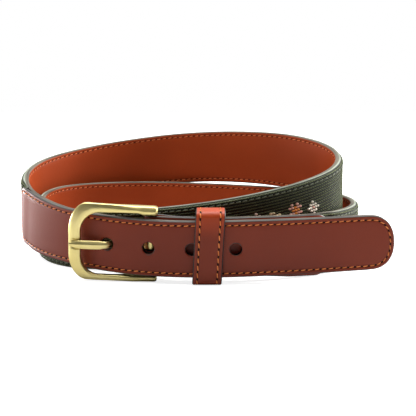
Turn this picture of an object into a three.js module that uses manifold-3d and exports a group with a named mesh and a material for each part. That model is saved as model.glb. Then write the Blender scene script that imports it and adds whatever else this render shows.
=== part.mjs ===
import * as THREE from 'three';
import Module from 'manifold-3d';

// Sizes in millimetres, angles in degrees.
const LEATHER_WIDTH = 32;
const BAND_WIDTH = 35.6;
const LINING_THICKNESS = 2.15;
const FACE_THICKNESS = 2.1;
const BAND_THICKNESS = 2.7;
const LAYER_GAP = 0.3;
const STATION_STEP = 5;

const TIP_LENGTH = 14;
const TIP_BLUNTNESS = 2.3;
const BILLET_END = 241;
const TAB_START = 1090;
const END_CORNER = 9;
const LAP_LENGTH = 7;
const LAP_RISE = 1.7;
const SKIVED_THICKNESS = 1.3;
const BAND_PRESSED = 1.4;

const HOLE_DIAMETER = 6.8;
const HOLE_PITCH = 24.2;
const FIRST_HOLE = 161.6;
const PLAIN_HOLES = 3;
const DRAWN_HOLE_LENGTH = 7.4;

const BAR_FROM_END = 5;
const BAR_RADIUS = 1.7;
const FOLD_CLEARANCE = 0.3;
const INNER_LEG = 30;
const SLOT_HEIGHT = 6.6;
const SLOT_LENGTH = 11;

const KEEPER = {
  x: 1.85, front: -8.2, back: 8.7, bottom: 0, height: 42, width: 16.4, wall: 2, corner: 4, tilt: 3,
};
const FRAME = {
  length: 46.4, past: 3.6, half: 22.1, limb: 6.8, upperArm: 5.2, lowerArm: 3.3, slope: 1.4, thick: 4,
  boss: 3.6, bossDrop: 1.2, lift: 0.93,
};
const PRONG = { height: 4.8, thick: 2.6, neck: 0.2, eye: 4.1, eyeHeight: 5.2, lift: -0.5 };

// Seam between lining and face layers, from the billet tip to the buckle fold:
// x to the right, y away from the viewer, mid-height of the strap, lean of its top edge outwards.
const SEAM = [
  [105.5, 2.0, 23.6, 1.5],
  [75.9, 0.1, 22.2, 1.5],
  [46.4, -1.8, 21.0, 1.5],
  [17.0, -3.4, 20.2, 1.5],
  [-12.0, -3.3, 19.8, 1.5],
  [-40.3, -0.1, 20.5, 1.5],
  [-66.9, 8.2, 22.6, 1.2],
  [-89.9, 22.3, 25.1, 0.8],
  [-107.6, 42.2, 28.6, 0.0],
  [-115.4, 67.1, 34.2, -0.7],
  [-112.2, 93.0, 39.5, -0.7],
  [-97.8, 116.0, 43.2, -0.5],
  [-75.7, 133.2, 46.7, -0.3],
  [-48.6, 143.1, 50.4, -0.3],
  [-19.2, 145.3, 53.8, -0.4],
  [10.1, 140.3, 55.6, -0.6],
  [38.4, 129.3, 55.9, -1.0],
  [62.8, 113.2, 54.7, -1.2],
  [80.0, 92.8, 51.0, -1.3],
  [86.6, 70.4, 45.4, -1.2],
  [79.8, 49.2, 40.0, -1.1],
  [61.2, 34.6, 35.0, -0.9],
  [36.5, 26.2, 29.7, -0.7],
  [8.5, 22.6, 25.0, -0.5],
  [-20.5, 22.3, 21.4, -0.3],
  [-49.3, 25.2, 18.9, -0.2],
  [-77.0, 31.7, 17.8, 0.0],
  [-98.2, 47.5, 17.8, 0.0],
  [-106.9, 71.5, 18.8, 0.0],
  [-103.0, 96.4, 21.7, 0.0],
  [-86.8, 117.0, 21.4, 0.0],
  [-61.0, 130.5, 20.5, 0.0],
  [-30.3, 136.5, 19.9, 0.0],
  [1.9, 136.2, 18.7, 0.0],
  [33.3, 130.4, 18.0, 0.0],
  [63.0, 120.0, 17.8, 0.0],
  [85.4, 102.0, 17.8, 0.0],
  [95.0, 76.4, 18.3, -0.3],
  [93.2, 49.4, 18.3, -0.6],
  [79.5, 26.5, 18.4, -0.3],
  [56.3, 11.0, 18.4, 0.0],
  [27.4, 3.3, 20.5, 0.6],
  [-3.9, 2.2, 20.6, 0.8],
  [-35.9, 5.8, 21.5, 0.6],
];

// Belt widths by distance along the seam: distance, width.
const WIDTHS = [
  [0, 31],
  [90, LEATHER_WIDTH],
  [190, LEATHER_WIDTH],
  [218, 34.4],
  [BILLET_END, 35.4],
  [BILLET_END + 8, BAND_WIDTH],
  [400, BAND_WIDTH],
  [470, BAND_WIDTH + 1.3],
  [520, BAND_WIDTH + 1.3],
  [580, BAND_WIDTH],
  [TAB_START - 8, BAND_WIDTH],
  [TAB_START, 36],
  [TAB_START + 25, 35.4],
  [TAB_START + 62, 32.4],
  [2000, 32.4],
];

// Prong line seen from above, measured from the bar: x, y.
const PRONG_LINE = [
  [0, 0],
  [-7, 0.6],
  [-13.5, 2.2],
  [-18.3, 3.3],
  [-20.8, 0.7],
  [-22.4, -3.6],
  [-24.4, -6.9],
  [-28.5, -7.4],
  [-35, -7.3],
  [-41.5, -6.55],
  [-45.5, -6.05],
];

// Stations at a joint of leather and needlepoint, measured from the leather's end into the leather.
const JOINT_MARKS = [-6, -3, 0, 1.2, 2.7, 4.7, LAP_LENGTH, END_CORNER, 10.5, 12.5, 15];

// Offset of the frame's mid-plane from the bar: x, y.
const FRAME_LINE = [
  [4, -3.3],
  [-4, -3.6],
  [-10, -4.2],
  [-22, -4.3],
  [-34, -3.6],
  [-46, -2.4],
];

const UP = new THREE.Vector3(0, 0, 1);
const rad = THREE.MathUtils.degToRad;
const wasm = await Module();
wasm.setup();

function blend(value, from, to) {
  return THREE.MathUtils.smoothstep(value, from, to);
}

function lookUp(table, at) {
  const rising = table[0][0] < table[table.length - 1][0];
  const rows = rising ? table : [...table].reverse();
  let k = 0;
  while (k < rows.length - 2 && at > rows[k + 1][0]) k += 1;
  const [x0, y0] = rows[k];
  const [x1, y1] = rows[k + 1];
  const part = THREE.MathUtils.clamp((at - x0) / (x1 - x0), 0, 1);
  return y0 + (y1 - y0) * part;
}

// Uniform cubic B-spline through the guide rows, its ends mirrored so it starts and stops on them.
function splineAt(rows, u) {
  const last = rows.length - 1;
  const span = Math.max(0, Math.min(Math.floor(u), last - 1));
  const f = u - span;
  const weights = [
    (1 - f) ** 3 / 6,
    (3 * f ** 3 - 6 * f ** 2 + 4) / 6,
    (-3 * f ** 3 + 3 * f ** 2 + 3 * f + 1) / 6,
    f ** 3 / 6,
  ];
  const pick = (i, c) => {
    if (i < 0) return 2 * rows[0][c] - rows[1][c];
    if (i > last) return 2 * rows[last][c] - rows[last - 1][c];
    return rows[i][c];
  };
  return rows[0].map((_, c) => weights.reduce((sum, w, k) => sum + w * pick(span - 1 + k, c), 0));
}

function measureSeam() {
  const perRow = 16;
  const count = (SEAM.length - 1) * perRow;
  const table = [];
  let travelled = 0;
  let previous = null;
  for (let k = 0; k <= count; k += 1) {
    const u = k / perRow;
    const [x, y, z] = splineAt(SEAM, u);
    const point = new THREE.Vector3(x, y, z);
    if (previous) travelled += point.distanceTo(previous);
    table.push([travelled, u]);
    previous = point;
  }
  return table;
}

const DISTANCES = measureSeam();
const SEAM_LENGTH = DISTANCES[DISTANCES.length - 1][0];
const BAR_STATION = SEAM_LENGTH - BAR_FROM_END;

// Frame of the strap at a distance from the tip: a point on it is (across, outwards).
function strapAt(distance) {
  const inside = THREE.MathUtils.clamp(distance, 0, SEAM_LENGTH);
  const u = lookUp(DISTANCES, inside);
  const [x, y, z, lean] = splineAt(SEAM, u);
  const step = 0.02;
  const before = splineAt(SEAM, Math.max(u - step, 0));
  const after = splineAt(SEAM, Math.min(u + step, SEAM.length - 1));
  const along = new THREE.Vector3().fromArray(after).sub(new THREE.Vector3().fromArray(before)).normalize();
  const flatOut = new THREE.Vector3().crossVectors(UP, along).normalize();
  const flatUp = new THREE.Vector3().crossVectors(along, flatOut);
  const c = Math.cos(rad(lean));
  const s = Math.sin(rad(lean));
  const across = flatUp.clone().multiplyScalar(c).addScaledVector(flatOut, s);
  const out = flatOut.clone().multiplyScalar(c).addScaledVector(flatUp, -s);
  const centre = new THREE.Vector3(x, y, z).addScaledVector(along, distance - inside);
  return {
    centre,
    along,
    across,
    out,
    point: (w, t) => centre.clone().addScaledVector(across, w).addScaledVector(out, t),
  };
}

function halfWidth(distance) {
  return lookUp(WIDTHS, distance) / 2;
}

function tipHalfWidth(distance) {
  const full = halfWidth(distance);
  if (distance >= TIP_LENGTH) return full;
  const rest = 1 - distance / TIP_LENGTH;
  return Math.max(full * (1 - rest ** TIP_BLUNTNESS) ** (1 / TIP_BLUNTNESS), 4);
}

// How far rounded corners draw a leather end's edges in, by the distance left to that end.
function cornerLoss(left) {
  const into = THREE.MathUtils.clamp(1 - left / END_CORNER, 0, 1);
  return END_CORNER * (1 - Math.sqrt(1 - into ** 2));
}

// Closed mesh from rings of points, its two ends filled with fans. From the turnBack-th point on,
// the quads are split the other way, so that the two faces of a twisted strap stay parallel.
function sweep(rings, { closed = false, turnBack = Infinity } = {}) {
  const size = rings[0].length;
  const positions = [];
  const index = [];
  for (const ring of rings) {
    for (const p of ring) positions.push(p.x, p.y, p.z);
  }
  const spans = closed ? rings.length : rings.length - 1;
  for (let r = 0; r < spans; r += 1) {
    const next = (r + 1) % rings.length;
    for (let k = 0; k < size; k += 1) {
      const a = r * size + k;
      const b = r * size + ((k + 1) % size);
      const c = next * size + ((k + 1) % size);
      const d = next * size + k;
      if (k < turnBack) index.push(a, b, c, a, c, d);
      else index.push(a, b, d, b, c, d);
    }
  }
  if (!closed) {
    const end = (rings.length - 1) * size;
    for (let k = 1; k < size - 1; k += 1) {
      index.push(0, k + 1, k, end, end + k, end + k + 1);
    }
  }
  const geometry = new THREE.BufferGeometry();
  geometry.setAttribute('position', new THREE.Float32BufferAttribute(positions, 3));
  geometry.setIndex(signedVolume(positions, index) < 0 ? index.reverse() : index);
  return geometry;
}

function signedVolume(positions, index) {
  const a = new THREE.Vector3();
  const b = new THREE.Vector3();
  const c = new THREE.Vector3();
  let six = 0;
  for (let k = 0; k < index.length; k += 3) {
    a.fromArray(positions, index[k] * 3);
    b.fromArray(positions, index[k + 1] * 3);
    c.fromArray(positions, index[k + 2] * 3);
    six += a.dot(b.cross(c));
  }
  return six / 6;
}

function toSolid(geometry) {
  const mesh = new wasm.Mesh({
    numProp: 3,
    vertProperties: new Float32Array(geometry.attributes.position.array),
    triVerts: new Uint32Array(geometry.index.array),
  });
  return new wasm.Manifold(mesh);
}

function toGeometry(solid) {
  const mesh = solid.getMesh();
  const geometry = new THREE.BufferGeometry();
  geometry.setAttribute('position', new THREE.BufferAttribute(mesh.vertProperties, 3));
  geometry.setIndex(new THREE.BufferAttribute(mesh.triVerts, 1));
  return geometry;
}

// Stations shared by all layers, so that their facets run parallel.
function sharedStations() {
  const list = JOINT_MARKS.flatMap((mark) => [BILLET_END - mark, TAB_START + mark]);
  for (let d = STATION_STEP; d < SEAM_LENGTH; d += STATION_STEP) {
    if (list.every((other) => Math.abs(d - other) > 0.8)) list.push(d);
  }
  return list.sort((p, q) => p - q);
}

const STATIONS = sharedStations();

function stationsBetween(from, to) {
  return [from, ...STATIONS.filter((d) => d > from + 0.8 && d < to - 0.8), to];
}

function plainSection(strap, half, inner, outer) {
  return [
    strap.point(-half, inner),
    strap.point(half, inner),
    strap.point(half, outer),
    strap.point(-half, outer),
  ];
}

function bevelledSection(strap, half, inner, outer, bevel) {
  return [
    strap.point(-half, inner),
    strap.point(half, inner),
    strap.point(half, outer - bevel),
    strap.point(half - bevel, outer),
    strap.point(-half + bevel, outer),
    strap.point(-half, outer - bevel),
  ];
}

// Prism through one strap layer at a hole, its length along the strap.
function holeCutter(distance, length) {
  const strap = strapAt(distance);
  const radius = HOLE_DIAMETER / 2;
  const reach = 3.1;
  const sides = 24;
  const straight = (length - HOLE_DIAMETER) / 2;
  const ring = (t) => {
    const points = [];
    for (let k = 0; k < sides; k += 1) {
      const angle = (2 * Math.PI * (k + 0.5)) / sides;
      const slide = radius * Math.cos(angle) + Math.sign(Math.cos(angle)) * straight;
      points.push(strap.point(radius * Math.sin(angle), t).addScaledVector(strap.along, slide));
    }
    return points;
  };
  return toSolid(sweep([ring(-reach), ring(reach)]));
}

function holeCutters() {
  const slack = DRAWN_HOLE_LENGTH - HOLE_DIAMETER;
  const cutters = [holeCutter(FIRST_HOLE - slack / 2, DRAWN_HOLE_LENGTH)];
  for (let k = 1; k <= PLAIN_HOLES; k += 1) {
    cutters.push(holeCutter(FIRST_HOLE - k * HOLE_PITCH, HOLE_DIAMETER));
  }
  return cutters;
}

function punch(geometry) {
  let solid = toSolid(geometry);
  for (const cutter of holeCutters()) solid = solid.subtract(cutter);
  return toGeometry(solid);
}

function tipStations() {
  const list = [];
  for (let k = 0; k <= 7; k += 1) list.push(TIP_LENGTH * (1 - Math.cos((Math.PI / 2) * (k / 7))));
  return list;
}

function liningStrap() {
  const inner = -LAYER_GAP / 2 - LINING_THICKNESS;
  const outer = -LAYER_GAP / 2;
  const end = BAR_STATION - INNER_LEG - 0.5;
  const rings = [...tipStations(), ...stationsBetween(TIP_LENGTH + STATION_STEP, end)].map((d) =>
    plainSection(strapAt(d), tipHalfWidth(d), inner, outer),
  );
  return punch(sweep(rings, { turnBack: 2 }));
}

// Height of the leather's underside above the seam where it laps the needlepoint's end.
function lapLift(distance) {
  const billetLift = blend(distance, BILLET_END - LAP_LENGTH - 10, BILLET_END - LAP_LENGTH - 1);
  const tabLift = 1 - blend(distance, TAB_START + LAP_LENGTH + 1, TAB_START + LAP_LENGTH + 10);
  return LAYER_GAP / 2 + LAP_RISE * (distance < SEAM_LENGTH / 2 ? billetLift : tabLift);
}

function leatherThickness(distance) {
  const lifted = (lapLift(distance) - LAYER_GAP / 2) / LAP_RISE;
  return FACE_THICKNESS + (SKIVED_THICKNESS - FACE_THICKNESS) * lifted;
}

function leatherSection(distance) {
  const inner = lapLift(distance);
  const outer = inner + leatherThickness(distance);
  const half = tipHalfWidth(distance) - cornerLoss(BILLET_END - distance);
  return bevelledSection(strapAt(distance), half, inner, outer, 0.5);
}

function billetLeather() {
  const stations = stationsBetween(TIP_LENGTH + STATION_STEP, BILLET_END);
  return punch(sweep([...tipStations(), ...stations].map(leatherSection), { turnBack: 2 }));
}

function needlepointBand() {
  const start = BILLET_END - LAP_LENGTH;
  const end = TAB_START + LAP_LENGTH;
  const rings = stationsBetween(start, end).map((d) => {
    const swell = blend(d, BILLET_END, BILLET_END + 7) * (1 - blend(d, TAB_START - 7, TAB_START));
    const outer = LAYER_GAP / 2 + BAND_PRESSED + (BAND_THICKNESS - BAND_PRESSED) * swell;
    return bevelledSection(strapAt(d), halfWidth(d), LAYER_GAP / 2, outer, 0.4);
  });
  return sweep(rings, { turnBack: 2 });
}

// Middle line of the tab leather, as distance along the strap, offset outwards, half thickness.
function tabLine() {
  const bend = BAR_RADIUS + FOLD_CLEARANCE + FACE_THICKNESS / 2;
  const top = LAYER_GAP / 2 + FACE_THICKNESS / 2;
  const level = -LAYER_GAP / 2 - LINING_THICKNESS / 2;
  const half = FACE_THICKNESS / 2;
  const line = stationsBetween(TAB_START, BAR_STATION).map((d) => [
    d,
    lapLift(d) + leatherThickness(d) / 2,
    leatherThickness(d) / 2,
  ]);
  const turns = 10;
  for (let k = 1; k <= turns; k += 1) {
    const angle = (Math.PI * k) / turns;
    line.push([BAR_STATION + bend * Math.sin(angle), top - bend * (1 - Math.cos(angle)), half]);
  }
  const depth = top - 2 * bend;
  for (const back of [3, 6, 9, 12, 15, 18, 24, INNER_LEG]) {
    line.push([BAR_STATION - back, depth + (level - depth) * blend(back, 2, 16), half]);
  }
  return line;
}

function buckleTab() {
  const line = tabLine();
  const rings = line.map(([d, t, half], k) => {
    const before = line[Math.max(k - 1, 0)];
    const after = line[Math.min(k + 1, line.length - 1)];
    const run = after[0] - before[0];
    const rise = after[1] - before[1];
    const size = Math.hypot(run, rise);
    const side = [-rise / size, run / size];
    const w = halfWidth(d) - (t > 0 ? cornerLoss(d - TAB_START) : 0);
    const place = (across, offset) => strapAt(d + side[0] * offset).point(across, t + side[1] * offset);
    return [place(-w, -half), place(w, -half), place(w, half), place(-w, half)];
  });
  const slot = new THREE.BoxGeometry(2 * SLOT_LENGTH, 30, SLOT_HEIGHT);
  slot.translate(0, 0, PRONG.lift);
  slot.applyMatrix4(buckleAxes());
  return toGeometry(toSolid(sweep(rings, { turnBack: 2 })).subtract(toSolid(weld(slot))));
}

function weld(geometry) {
  const seen = new Map();
  const source = geometry.attributes.position;
  const positions = [];
  const index = [];
  for (const k of geometry.index.array) {
    const key = [source.getX(k), source.getY(k), source.getZ(k)].map((v) => v.toFixed(4)).join(' ');
    if (!seen.has(key)) {
      seen.set(key, positions.length / 3);
      positions.push(source.getX(k), source.getY(k), source.getZ(k));
    }
    index.push(seen.get(key));
  }
  const welded = new THREE.BufferGeometry();
  welded.setAttribute('position', new THREE.Float32BufferAttribute(positions, 3));
  welded.setIndex(index);
  return welded;
}

function roundedRectangle(left, right, low, high, corner, perCorner) {
  const points = [];
  const centres = [
    [right - corner, high - corner, 0],
    [left + corner, high - corner, 90],
    [left + corner, low + corner, 180],
    [right - corner, low + corner, 270],
  ];
  for (const [cx, cy, start] of centres) {
    for (let k = 0; k <= perCorner; k += 1) {
      const angle = rad(start + (90 * k) / perCorner);
      points.push([cx + corner * Math.cos(angle), cy + corner * Math.sin(angle)]);
    }
  }
  return points;
}

function keeperLoop() {
  const { front, back, bottom, height, width, wall, corner, tilt } = KEEPER;
  const outer = roundedRectangle(front, back, bottom, bottom + height, corner, 5);
  const inner = roundedRectangle(
    front + wall, back - wall, bottom + wall, bottom + height - wall, corner - wall, 5,
  );
  const lean = Math.tan(rad(tilt));
  const rings = outer.map(([yo, zo], k) => {
    const [yi, zi] = inner[k];
    const place = (side, y, z) => {
      const x = KEEPER.x + (side * width) / 2 + (z - height / 2) * lean;
      return new THREE.Vector3(x, y, z);
    };
    return [place(-1, yo, zo), place(1, yo, zo), place(1, yi, zi), place(-1, yi, zi)];
  });
  return sweep(rings, { closed: true });
}

function barCentre() {
  const strap = strapAt(BAR_STATION);
  const depth = LAYER_GAP / 2 - FOLD_CLEARANCE - BAR_RADIUS;
  return strap.point(0, depth);
}

// Points from the end of an arm to the limb: the arm slopes down to its end, the corner is elliptic.
function armContour({ half, slope, along, high, left, right }) {
  const points = [];
  const straight = 9;
  const bend = 8;
  const turn = left + along;
  for (let k = 0; k < straight; k += 1) {
    const share = k / straight;
    points.push([right + (turn - right) * share, half - slope * (1 - share)]);
  }
  for (let k = 0; k <= bend; k += 1) {
    const angle = rad(90 + (90 * k) / bend);
    points.push([turn + along * Math.cos(angle), half - high + high * Math.sin(angle)]);
  }
  return points;
}

// Points of a U from the end of the upper arm round the limb to the end of the lower arm.
function uContour(upper, lower) {
  const mirrored = armContour(lower).reverse().map(([x, z]) => [x, -z]);
  return [...armContour(upper), ...mirrored];
}

// Buckle axes at the bar's middle: x to the right, y away from the viewer, z along the bar.
function buckleAxes() {
  const z = strapAt(BAR_STATION).across;
  const y = new THREE.Vector3().crossVectors(z, new THREE.Vector3(1, 0, 0)).normalize();
  const x = new THREE.Vector3().crossVectors(y, z);
  return new THREE.Matrix4().makeBasis(x, y, z).setPosition(barCentre());
}

function placeOnBuckle(x, y, z) {
  return new THREE.Vector3(x, y, z).applyMatrix4(buckleAxes());
}

function buckleFrame() {
  const { length, past, half, limb, upperArm, lowerArm, slope, thick, boss, bossDrop, lift } = FRAME;
  const outside = { half, left: -length, right: past };
  const inside = { slope: 0, left: -length + limb, right: past };
  const outer = uContour(
    { ...outside, slope, along: 11, high: 16.5 },
    { ...outside, slope: 0, along: 10.5, high: 14.5 },
  );
  const inner = uContour(
    { ...inside, half: half - upperArm, along: 11.5, high: 12 },
    { ...inside, half: half - lowerArm, along: 10, high: 11 },
  ).map(([x, z]) => [x, z > 0 ? z - bossDrop * blend(x, -6.5, -4) : z]);
  const rings = outer.map(([xo, zo], k) => {
    const [xi, zi] = inner[k];
    const place = (share, depth) => {
      const x = xo + (xi - xo) * share;
      const z = zo + (zi - zo) * share;
      const y = lookUp(FRAME_LINE, x) + depth * (thick + boss * blend(x, -24, -6));
      return placeOnBuckle(x, y, z + lift);
    };
    return [
      place(0.2, 0.5), place(0, 0.25), place(0, -0.3), place(0.25, -0.5),
      place(0.75, -0.5), place(1, -0.25), place(1, 0.3), place(0.85, 0.5),
    ];
  });
  const bar = new THREE.CylinderGeometry(BAR_RADIUS, BAR_RADIUS, 2 * half - upperArm, 20);
  bar.rotateX(Math.PI / 2);
  bar.translate(0, 0, lift);
  bar.applyMatrix4(buckleAxes());
  return toGeometry(toSolid(sweep(rings)).add(toSolid(weld(bar))));
}

function buckleProng() {
  const { height, neck, eye, eyeHeight, lift } = PRONG;
  const count = 30;
  const rings = [];
  for (let k = 0; k <= count; k += 1) {
    const u = 0.55 + ((PRONG_LINE.length - 1 - 0.55) * k) / count;
    const [x, y] = splineAt(PRONG_LINE, u);
    const [xa, ya] = splineAt(PRONG_LINE, Math.min(u + 0.05, PRONG_LINE.length - 1));
    const [xb, yb] = splineAt(PRONG_LINE, u - 0.05);
    const run = Math.hypot(xa - xb, ya - yb);
    const side = [-(ya - yb) / run, (xa - xb) / run];
    const taper = 1 - 0.25 * blend(k, count - 3, count);
    const waist = 1 - neck * blend(-x, 14, 19) * (1 - blend(-x, 25, 29));
    const h = (height / 2) * taper * waist;
    const thick = PRONG.thick * waist;
    const place = (across, depth) =>
      placeOnBuckle(x + side[0] * depth, y + side[1] * depth, lift + across);
    rings.push([
      place(h, -thick / 2), place(h, 0.1), place(0.3 * h, thick / 2), place(-0.3 * h, thick / 2),
      place(-h, 0.1), place(-h, -thick / 2),
    ]);
  }
  const ringShape = new THREE.Shape();
  ringShape.absarc(0, 0, eye, 0, 2 * Math.PI, false);
  const bore = new THREE.Path();
  bore.absarc(0, 0, BAR_RADIUS + FOLD_CLEARANCE, 0, 2 * Math.PI, true);
  ringShape.holes.push(bore);
  const options = { depth: eyeHeight, bevelEnabled: false, curveSegments: 28 };
  const ring = new THREE.ExtrudeGeometry(ringShape, options);
  ring.translate(0, 0, lift - eyeHeight / 2);
  ring.applyMatrix4(buckleAxes());
  const indexed = weld(indexAll(ring));
  return toGeometry(toSolid(sweep(rings)).add(toSolid(indexed)));
}

function indexAll(geometry) {
  if (!geometry.index) {
    const count = geometry.attributes.position.count;
    geometry.setIndex([...Array(count).keys()]);
  }
  return geometry;
}

const LOOKS = {
  lining_strap: { color: 0x8c3a1c, roughness: 0.55, metalness: 0 },
  needlepoint_band: { color: 0x4a5440, roughness: 0.95, metalness: 0 },
  billet_leather: { color: 0x6b2f26, roughness: 0.4, metalness: 0 },
  buckle_tab: { color: 0x6b2f26, roughness: 0.4, metalness: 0 },
  keeper_loop: { color: 0x6b2f26, roughness: 0.4, metalness: 0 },
  buckle_frame: { color: 0xc8b464, roughness: 0.3, metalness: 1 },
  buckle_prong: { color: 0xc8b464, roughness: 0.3, metalness: 1 },
};

const BUILDERS = {
  lining_strap: liningStrap,
  needlepoint_band: needlepointBand,
  billet_leather: billetLeather,
  buckle_tab: buckleTab,
  keeper_loop: keeperLoop,
  buckle_frame: buckleFrame,
  buckle_prong: buckleProng,
};

function settle(group) {
  const box = new THREE.Box3().setFromObject(group);
  const shift = new THREE.Vector3(
    -(box.min.x + box.max.x) / 2,
    -(box.min.y + box.max.y) / 2,
    -box.min.z,
  );
  for (const mesh of group.children) mesh.geometry.translate(shift.x, shift.y, shift.z);
}

function build() {
  const group = new THREE.Group();
  for (const [name, make] of Object.entries(BUILDERS)) {
    const mesh = new THREE.Mesh(make(), new THREE.MeshStandardMaterial(LOOKS[name]));
    mesh.name = name;
    group.add(mesh);
  }
  settle(group);
  return group;
}

export default build();
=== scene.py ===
"""Needlepoint belt, fastened and coiled on its edge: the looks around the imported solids."""

import math

import bmesh
import bpy
import numpy as np
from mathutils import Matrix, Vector


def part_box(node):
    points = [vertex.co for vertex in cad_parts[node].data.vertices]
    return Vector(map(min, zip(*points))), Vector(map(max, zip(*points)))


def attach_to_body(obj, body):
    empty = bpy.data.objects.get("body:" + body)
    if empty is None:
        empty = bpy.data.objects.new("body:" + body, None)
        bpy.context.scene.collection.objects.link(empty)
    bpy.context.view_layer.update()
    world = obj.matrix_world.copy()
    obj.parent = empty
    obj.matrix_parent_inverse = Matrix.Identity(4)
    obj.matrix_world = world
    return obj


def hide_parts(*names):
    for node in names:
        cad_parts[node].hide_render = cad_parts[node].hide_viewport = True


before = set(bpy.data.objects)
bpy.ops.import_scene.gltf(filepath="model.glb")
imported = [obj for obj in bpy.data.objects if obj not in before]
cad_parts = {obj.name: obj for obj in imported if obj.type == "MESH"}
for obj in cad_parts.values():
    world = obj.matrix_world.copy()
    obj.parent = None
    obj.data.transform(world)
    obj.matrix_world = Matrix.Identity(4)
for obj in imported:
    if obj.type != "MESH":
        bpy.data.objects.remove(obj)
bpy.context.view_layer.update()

# Lengths in millimetres and angles in degrees, in the frame of the solids; meshes are made in metres.
MM = 0.001

BAND_WIDTH = 35.6
LINING_THICKNESS = 2.15
FACE_THICKNESS = 2.1
BAND_THICKNESS = 2.7
PRESSED_THICKNESS = 1.4
LAYER_GAP = 0.3
HAIRLINE = 0.01
LINING_FACE = -LAYER_GAP / 2 - LINING_THICKNESS
OUTER_FACE = LAYER_GAP / 2 + FACE_THICKNESS

TIP_LENGTH = 14
TIP_BLUNTNESS = 2.3
TIP_PATH = 26
BILLET_END = 241
TAB_START = 1090
END_CORNER = 9
CORNER_ROWS = 12
LAP_LENGTH = 7
LAP_RISE = 1.7
SKIVED_THICKNESS = 1.3

HOLE_DIAMETER = 6.8
HOLE_PITCH = 24.2
FIRST_HOLE = 161.6
PLAIN_HOLES = 3
DRAWN_HOLE_LENGTH = 7.4
HOLE_SIDES = 40

# Flare of a hole where it leaves the leather: offset from the face, widening of the radius.
LINING_FLARE = [(-0.6, 1.2), (-0.05, 0.45), (0.3, 0)]
OUTER_FLARE = [(-0.75, 0), (-0.4, 0.12), (-0.12, 0.4), (0.05, 0.75), (0.8, 1.8)]

BAR_FROM_END = 5
BAR_RADIUS = 1.7
FOLD_CLEARANCE = 0.3
INNER_LEG = 30
SLOT_HEIGHT = 6.6
SLOT_LENGTH = 11
SLOT_DEPTH = 15
SLOT_STEPS = 24
FOLD_ROWS = 22

KEEPER_X = 1.85
KEEPER_FRONT = -8.2
KEEPER_BACK = 8.7
KEEPER_HEIGHT = 42
KEEPER_WIDTH = 16.4
KEEPER_WALL = 2
KEEPER_CORNER = 4
KEEPER_TILT = 3
CORNER_STEPS = 12
KEEPER_STEP = 2.5
# Below the keeper's top: where the painted highlight on its leather starts and where it is strongest.
HIGHLIGHT_START = 17
HIGHLIGHT_END = 3

FRAME_LENGTH = 46.4
FRAME_PAST = 3.6
FRAME_HALF = 22.1
FRAME_LIMB = 6.8
FRAME_UPPER_ARM = 5.2
FRAME_LOWER_ARM = 3.3
FRAME_SLOPE = 1.4
FRAME_THICK = 4
FRAME_BOSS = 3.6
FRAME_BOSS_DROP = 1.2
FRAME_LIFT = 0.93
ARM_STEPS = 24
LIMB_STEPS = 16
BAR_SIDES = 24
BAR_RINGS = 5
# Along x from the bar: where the arm's section sets in, and where the arms thicken and drop.
ARM_START = (-36, -26)
BOSS_RANGE = (-24, -6)
BOSS_DROP_RANGE = (-6.5, -4)
FRAME_SHARP_ANGLE = 50

# Contours of the frame, upper arm and lower arm: half height, slope, length and height of the corner.
FRAME_OUTER = [(FRAME_HALF, FRAME_SLOPE, 11, 16.5), (FRAME_HALF, 0, 10.5, 14.5)]
FRAME_INNER = [(FRAME_HALF - FRAME_UPPER_ARM, 0, 11.5, 12), (FRAME_HALF - FRAME_LOWER_ARM, 0, 10, 11)]

PRONG_HEIGHT = 4.8
PRONG_THICK = 2.6
PRONG_NECK = 0.2
PRONG_EYE = 4.1
PRONG_EYE_HEIGHT = 5.2
EYE_SIDES = 48
PRONG_ROWS = 72
PRONG_TIP_ROWS = 11
TIP_TAPER = 0.55
TIP_ROUNDING = 1.4
TIP_THINNING = 0.5
# Distances from the bar between which the prong narrows and widens again.
NECK_START = (14, 19)
NECK_END = (25, 29)
PRONG_SHARP_ANGLE = 26
PRONG_LIFT = -0.5

THREAD_PITCH = 3.9
THREAD_INSET = 2.4
THREAD_RADIUS = 0.34
THREAD_SLANT = 0.3
THREAD_FLATNESS = 0.8
THREAD_STEP = 0.3
KEEPER_THREAD_INSET = 2.7
BAND_THREAD_INSET = 2.7
KEEPER_THREAD_PITCH = 4.1
SEWING_STEP = 0.8
FLOOR_CLEARANCE = 0.02

# One sewn stitch: share of the pitch from its middle, share of the radius, lift in radii.
BEAD = [
    (-0.36, 0.4, -0.7), (-0.31, 0.75, -0.1), (-0.18, 1, 0.3), (0, 1, 0.4), (0.18, 1, 0.3),
    (0.31, 0.75, -0.1), (0.36, 0.4, -0.7),
]
BEAD_SIDES = 8
LENS_SIDES = 10
LENS_RIM = 0.04
LENS_RISE = 0.12

SHARP_ANGLE = 40
SEWING_SHARP_ANGLE = 70
# In metres.
MERGE_DISTANCE = 2e-6
SHORTEST_EDGE = 1e-7

STITCH_PITCH = 1.72
STITCH_ROWS = 20
STITCH_MARGIN = 0.45
STITCH_HEIGHT = 0.85
STITCH_REACH = 1.1
STITCH_SLANT = 11
MOTIF_STITCH_HALF = 0.8
GROUND_STITCH_HALF = 0.42
EDGE_ROUNDING = 2.6
EDGE_DROP = 1.25

# Points of a stitch that touch the canvas and its two ends, and how much darker the wool is painted there:
# painted shade in the furrows between stitches.
STITCH_FOOT = [0, 3, 4, 7, 8, 11]
STITCH_ENDS = [12, 13]
GROUND_SHADE = 0.12
END_SHADE = 0.6

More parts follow.
